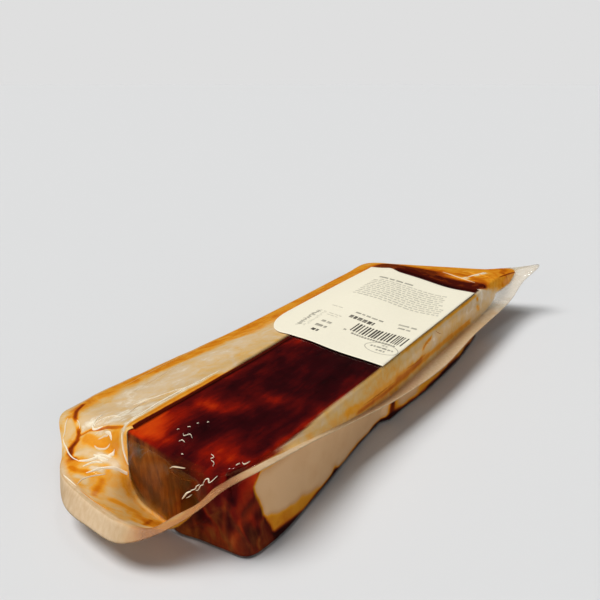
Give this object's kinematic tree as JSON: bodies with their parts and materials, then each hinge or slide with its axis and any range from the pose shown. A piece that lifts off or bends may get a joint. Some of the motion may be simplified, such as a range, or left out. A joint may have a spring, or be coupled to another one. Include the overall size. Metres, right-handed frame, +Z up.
{
  "type": "vacuum packed pork belly slab",
  "caption": "Long slab of smoked, glazed pork belly sealed in a clear film pouch with a drooping sealed rim, a raised far corner and a paper weigh label over its far half.",
  "frame": {"origin": "middle of the pack's bounding box, on the surface it lies on", "axes": "+X across the slab, away from the broad left web; +Y along the slab, from its bare near end to the labelled far end; +Z up"},
  "size_m": [0.11, 0.2774, 0.0317],
  "materials": {
    "smoked_pork_in_film": "gloss",
    "clear_film": "gloss",
    "label_paper": "satin"
  },
  "bodies": {
    "root": {"vacuum_pack": "smoked_pork_in_film", "weigh_label": "label_paper"}
  },
  "joints": []
}
